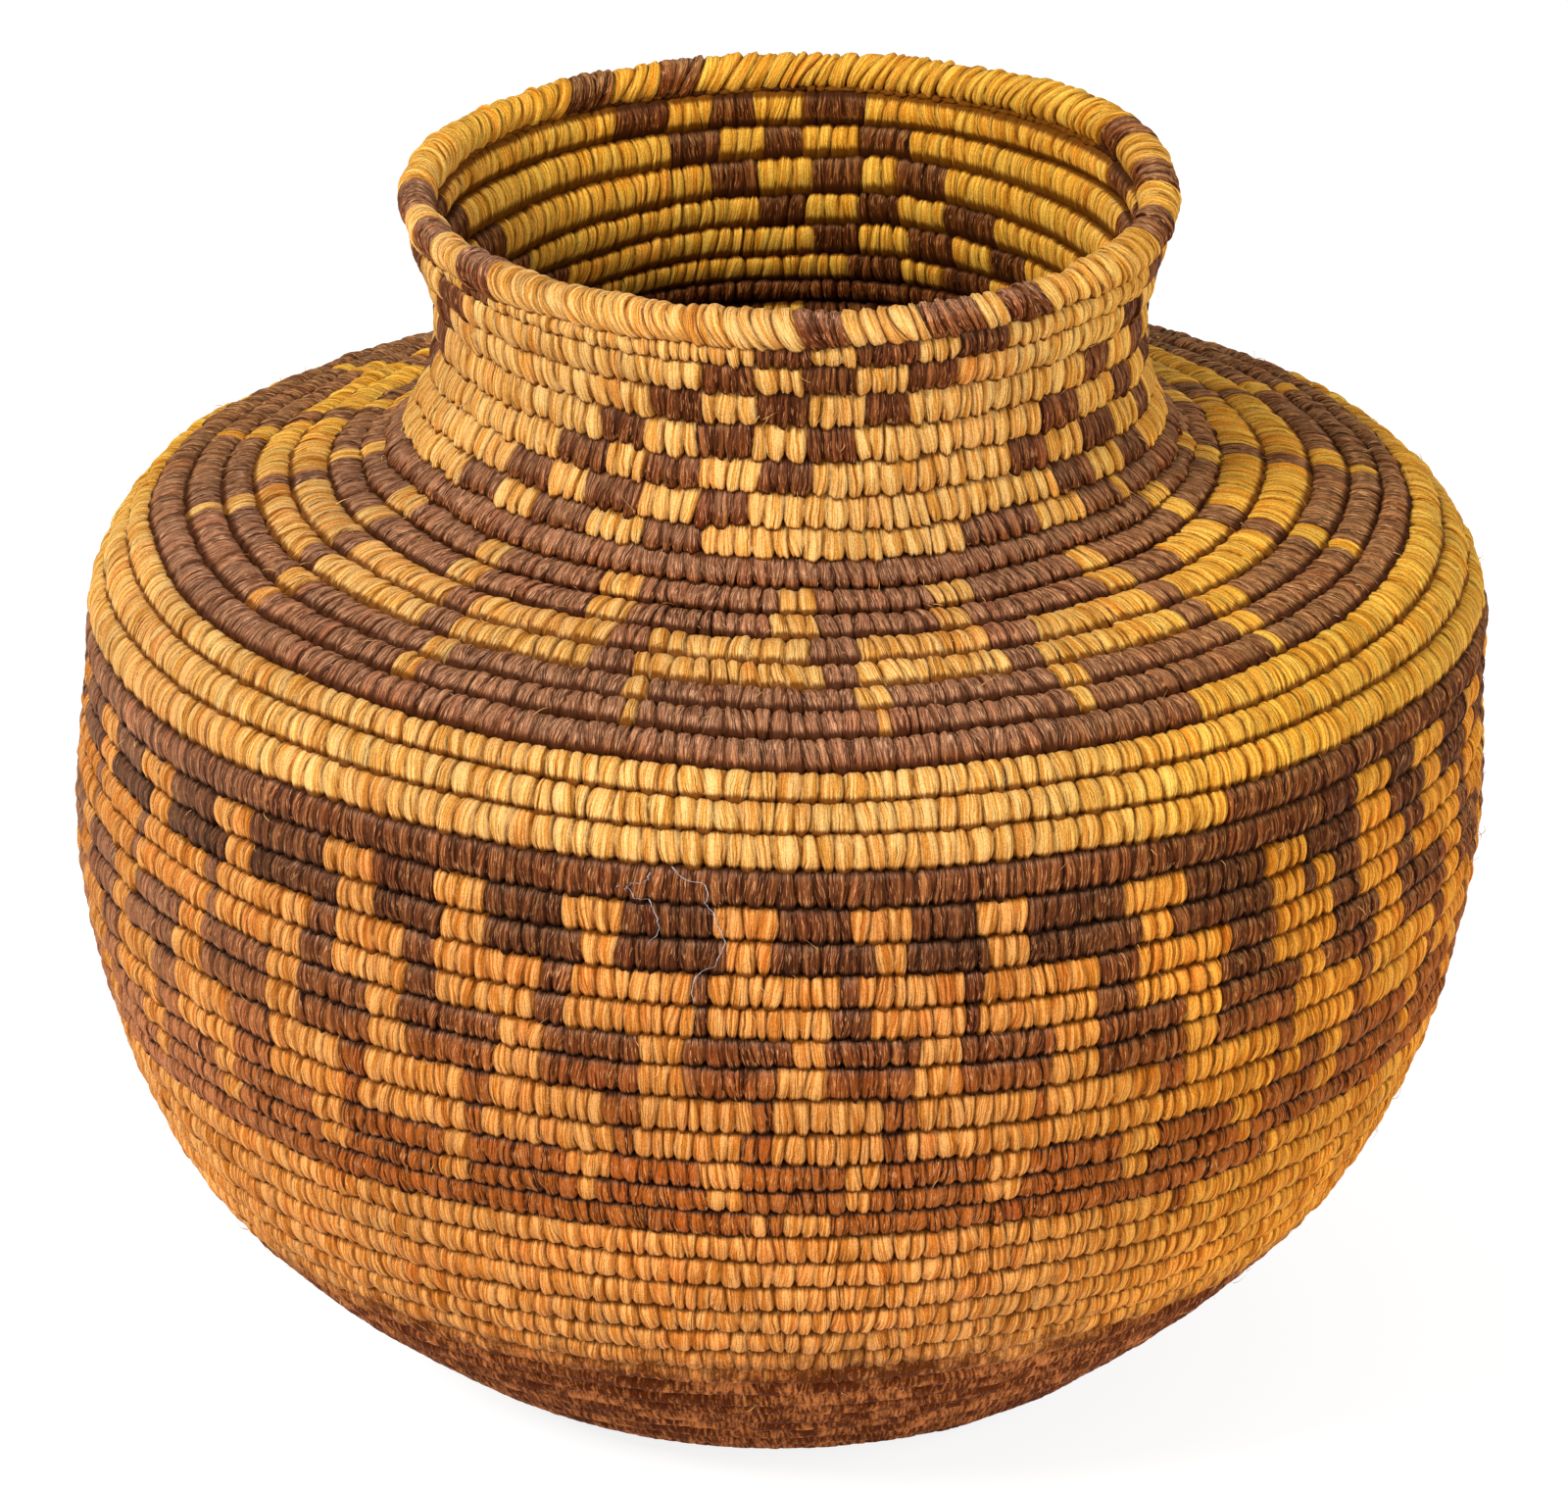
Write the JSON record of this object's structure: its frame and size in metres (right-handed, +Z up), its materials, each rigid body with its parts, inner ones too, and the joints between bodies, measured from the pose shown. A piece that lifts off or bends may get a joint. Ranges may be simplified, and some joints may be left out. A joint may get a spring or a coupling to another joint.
{
  "type": "basketry olla",
  "caption": "Wide-shouldered coiled basket with a short flared neck, a thick sewn rim, an open mouth and a small flat base, for storing dry goods or for display.",
  "frame": {"origin": "middle of the base, on the plane that the basket stands on", "axes": "+Z up through the mouth; -Y is the side that the picture shows; the coil's colour change is right of it"},
  "size_m": [0.2998, 0.2993, 0.2657],
  "materials": {
    "tan_splint": "split tan plant stem, dry and slightly glossy",
    "brown_splint": "dark brown split plant fibre, matt",
    "base_splint": "smoke-darkened split plant fibre, matt and worn",
    "rim_splint": "split tan plant stem wrapped aslant, with dark stitches between"
  },
  "bodies": {
    "root": {"start_knot": "base_splint", "base_round_01": "base_splint", "base_round_02": "base_splint", "base_round_03": "base_splint", "base_round_04": "base_splint", "base_round_05": "base_splint", "base_round_06": "base_splint", "base_round_07": "base_splint", "foot_round_01": "base_splint", "foot_round_02": "base_splint", "foot_round_03": "base_splint", "foot_round_04": "base_splint", "foot_round_05": "base_splint", "foot_round_06": "base_splint", "foot_round_07": "base_splint", "foot_round_08": "base_splint", "foot_round_09": "base_splint", "foot_round_10": "base_splint", "lower_belly_round_01": "tan_splint", "lower_belly_round_02": "tan_splint", "lower_belly_round_03": "tan_splint", "lower_belly_round_04": "tan_splint", "lower_belly_round_05": "tan_splint", "lower_belly_round_06": "tan_splint", "lower_belly_round_07": "tan_splint", "belly_round_01": "brown_splint", "belly_round_02": "brown_splint", "belly_round_03": "brown_splint", "belly_round_04": "brown_splint", "belly_round_05": "brown_splint", "belly_round_06": "brown_splint", "belly_round_07": "brown_splint", "belly_round_08": "brown_splint", "belly_round_09": "brown_splint", "belly_round_10": "brown_splint", "belly_round_11": "brown_splint", "belly_round_12": "brown_splint", "shoulder_edge_round_01": "tan_splint", "shoulder_edge_round_02": "tan_splint", "shoulder_edge_round_03": "tan_splint", "shoulder_round_01": "brown_splint", "shoulder_round_02": "brown_splint", "shoulder_round_03": "brown_splint", "shoulder_round_04": "brown_splint", "shoulder_round_05": "brown_splint", "shoulder_round_06": "brown_splint", "shoulder_round_07": "brown_splint", "shoulder_round_08": "brown_splint", "neck_round_01": "tan_splint", "neck_round_02": "tan_splint", "neck_round_03": "tan_splint", "neck_round_04": "tan_splint", "neck_round_05": "tan_splint", "neck_round_06": "tan_splint", "neck_round_07": "tan_splint", "rim_coil": "rim_splint"}
  },
  "joints": []
}
